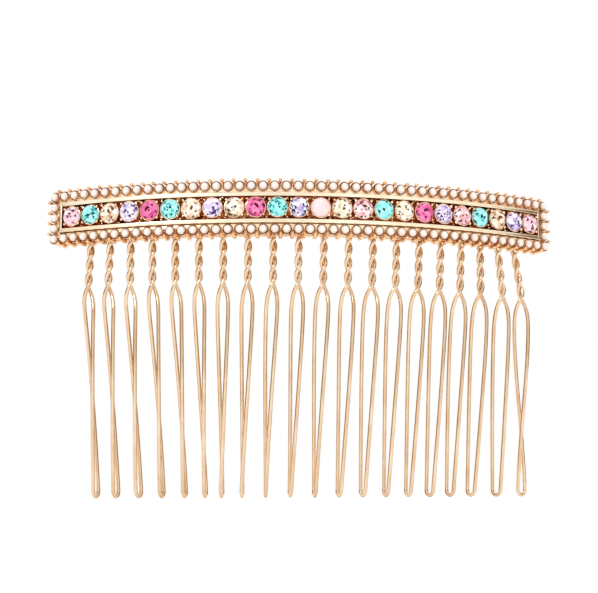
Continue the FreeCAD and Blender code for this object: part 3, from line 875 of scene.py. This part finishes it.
def tooth_line(number, chance):
    """Down one strand, round the tip and up the other, with small differences left by hand bending."""
    widest = 1 if number == TOOTH_COUNT else 1 + WIDTH_CHANGE
    opening_width = loop_width(number) * chance.uniform(1 - WIDTH_CHANGE, widest)
    turning = loop_turn(number) + chance.uniform(-TURN_CHANGE, TURN_CHANGE)
    wave = chance.uniform(-WAVE, WAVE)
    opening_depth = OPENING_DEPTH - OPENING_DEPTH_CHANGE * row_side(number)
    front = strand_line(1, opening_width, turning, opening_depth)
    back = strand_line(-1, opening_width, turning, opening_depth)
    line = []
    for p in front + tip_bend(front[-1], back[-1]) + back[::-1]:
        below = max(0.0, -p.z)
        down_neck = min(1.0, below / -TWIST_END_Z)
        down_loop = max(0.0, TWIST_END_Z - p.z) / LOOP_LENGTH
        sideways = neck_splay(number) * down_neck + tooth_lean(number) * down_loop
        sideways += wave * math.sin(math.pi * down_loop)
        line.append(p + Vector((sideways, below * math.tan(math.radians(TILT_BACK)), 0)))
    turn = Matrix.Rotation(math.radians(tooth_angle(number)), 4, "Z")
    axis = Vector((0, AXIS_Y, 0))
    return [axis + turn @ (p - axis) for p in line]


def make_tooth(number, chance):
    """One wire folded double, twisted at the neck, drawn as a round tube along its line."""
    curve = bpy.data.curves.new("tooth_line", "CURVE")
    curve.dimensions = "3D"
    curve.bevel_depth = WIRE_R
    curve.bevel_resolution = 4
    curve.use_fill_caps = True
    line = tooth_line(number, chance)
    spline = curve.splines.new("POLY")
    spline.points.add(len(line) - 1)
    for point, place in zip(spline.points, line):
        point.co = (*place, 1)
    holder = bpy.data.objects.new("tooth_line", curve)
    bpy.context.scene.collection.objects.link(holder)
    bpy.context.view_layer.update()
    mesh = bpy.data.meshes.new_from_object(holder.evaluated_get(bpy.context.evaluated_depsgraph_get()))
    bpy.data.objects.remove(holder)
    bm = bmesh.new()
    bm.from_mesh(mesh)
    bmesh.ops.remove_doubles(bm, verts=bm.verts, dist=1e-4)
    finish_piece("tooth_wire_%02d" % number, bm, wire_gold, ["tooth_%02d" % number], sharp=50)


def make_teeth():
    """All the teeth, from -X to +X."""
    chance = random.Random(20)
    for number in range(1, TOOTH_COUNT + 1):
        make_tooth(number, chance)


# ---------------------------------------------------------------- stage, light and camera
FLOOR_HALF_M = 3.0
FLOOR_DROP_M = 0.0002
WORLD_WHITE = (1, 1, 1, 1)
WORLD_ABOVE_FROM = 0.30
WORLD_ABOVE_FULL = 0.75
WORLD_ABOVE = (1.10, 1.08, 1.06)
# Place from -X (0) to +X (1), and the colour there.
WORLD_ACROSS = (
    (0.00, (0.14, 0.06, 0.03)),
    (0.045, (0.20, 0.09, 0.04)),
    (0.075, (1.00, 0.94, 0.86)),
    (0.30, (1.22, 1.16, 1.08)),
    (0.48, (0.88, 0.81, 0.72)),
    (0.62, (1.16, 1.10, 1.02)),
    (0.925, (0.98, 0.90, 0.80)),
    (0.955, (0.20, 0.09, 0.04)),
    (1.00, (0.10, 0.04, 0.02)),
)

# Degrees, metres and millimetres as named. The target is in the comb's own frame.
CAMERA_YAW = -5.27
CAMERA_RISE = -9.39
CAMERA_ROLL = -0.26
CAMERA_DISTANCE_M = 0.185
CAMERA_TARGET_MM = (-1.87, -3.64, -9.66)
CAMERA_LENS_MM = 71.83
CAMERA_SENSOR_MM = 36.0


def make_stage():
    """Plain pale floor under the tips of the teeth."""
    low = cad_box[0]
    bm = bmesh.new()
    bmesh.ops.create_grid(bm, x_segments=1, y_segments=1, size=FLOOR_HALF_M)
    bmesh.ops.translate(bm, vec=(0, 0, low.z - FLOOR_DROP_M), verts=bm.verts)
    mesh = as_mesh(bm)
    floor = bpy.data.objects.new("floor", mesh)
    bpy.context.scene.collection.objects.link(floor)
    n = Nodes("floor_white")
    n.set(Base_Color=(0.93, 0.93, 0.93), Roughness=0.6, Emission_Color=(1.0, 1.0, 1.0))
    n.shader.inputs["Emission Strength"].default_value = 0.2
    n.shader.inputs["Specular IOR Level"].default_value = 0.1
    mesh.materials.append(n.material)


def make_world():
    """Soft white studio: bright in front, above and behind, with warm dark cards at the two sides."""
    world = bpy.data.worlds.new("studio")
    bpy.context.scene.world = world
    world.use_nodes = True
    tree = world.node_tree
    tree.nodes.clear()
    link = tree.links.new

    def add(kind, **settings):
        node = tree.nodes.new(kind)
        for key, value in settings.items():
            setattr(node, key, value)
        return node

    split = add("ShaderNodeSeparateXYZ")
    link(add("ShaderNodeTexCoord").outputs["Generated"], split.inputs[0])
    across = add("ShaderNodeMapRange")
    across.inputs["From Min"].default_value = -1
    link(split.outputs["X"], across.inputs["Value"])
    cards = add("ShaderNodeValToRGB")
    elements = cards.color_ramp.elements
    while len(elements) < len(WORLD_ACROSS):
        elements.new(0.5)
    for element, (position, colour) in zip(elements, WORLD_ACROSS):
        element.position = position
        element.color = (*colour, 1)
    link(across.outputs["Result"], cards.inputs["Fac"])
    above = add("ShaderNodeMapRange")
    above.inputs["From Min"].default_value = WORLD_ABOVE_FROM
    above.inputs["From Max"].default_value = WORLD_ABOVE_FULL
    link(split.outputs["Z"], above.inputs["Value"])
    blend = add("ShaderNodeMix", data_type="RGBA")
    link(above.outputs["Result"], blend.inputs[0])
    link(cards.outputs["Color"], blend.inputs[6])
    blend.inputs[7].default_value = (*WORLD_ABOVE, 1)
    lit = add("ShaderNodeBackground")
    link(blend.outputs[2], lit.inputs["Color"])
    seen = add("ShaderNodeBackground")
    seen.inputs["Color"].default_value = WORLD_WHITE
    choose = add("ShaderNodeMixShader")
    link(add("ShaderNodeLightPath").outputs["Is Camera Ray"], choose.inputs[0])
    link(lit.outputs[0], choose.inputs[1])
    link(seen.outputs[0], choose.inputs[2])
    link(choose.outputs[0], add("ShaderNodeOutputWorld").inputs[0])


def make_lights():
    """A small key on the left and a broad soft light above."""

    def area(name, place, aim, size, power):
        light = bpy.data.lights.new(name, "AREA")
        light.size = size
        light.energy = power
        holder = bpy.data.objects.new(name, light)
        holder.location = place
        holder.rotation_euler = (Vector(aim) - Vector(place)).to_track_quat("-Z", "Y").to_euler()
        bpy.context.scene.collection.objects.link(holder)

    area("key_left", (-0.30, -0.40, 0.25), (0, 0, -0.01), 0.10, 0.36)
    area("top_soft", (0.10, -0.15, 0.50), (0, 0, 0), 0.3, 0.35)


def make_camera():
    """Slightly left of centre, near the floor, looking a little up at the band."""
    yaw = math.radians(CAMERA_YAW)
    rise = math.radians(CAMERA_RISE)
    roll = math.radians(CAMERA_ROLL)
    target = Vector(CAMERA_TARGET_MM) * MM
    back = Vector((math.sin(yaw) * math.cos(rise), -math.cos(yaw) * math.cos(rise), math.sin(rise)))
    right = (-back).cross(Vector((0, 0, 1))).normalized()
    up = right.cross(-back)
    tilted_right = right * math.cos(roll) + up * math.sin(roll)
    tilted_up = up * math.cos(roll) - right * math.sin(roll)
    data = bpy.data.cameras.new("camera")
    data.sensor_width = CAMERA_SENSOR_MM
    data.lens = CAMERA_LENS_MM
    data.clip_start = 0.005
    camera = bpy.data.objects.new("camera", data)
    camera.matrix_world = Matrix.Translation(target + back * CAMERA_DISTANCE_M) @ Matrix((
        (tilted_right.x, tilted_up.x, back.x, 0),
        (tilted_right.y, tilted_up.y, back.y, 0),
        (tilted_right.z, tilted_up.z, back.z, 0),
        (0, 0, 0, 1),
    ))
    bpy.context.scene.collection.objects.link(camera)
    bpy.context.scene.camera = camera


make_camera()
make_world()
make_lights()
make_stage()
make_setting_plate()
make_gallery()
make_channel_floor()
make_rails()
make_cups()
make_bezels()
make_pearls()
make_prongs()
make_stones()
make_rear_bar()
make_solder()
make_teeth()

bpy.context.scene.view_settings.view_transform = "Standard"
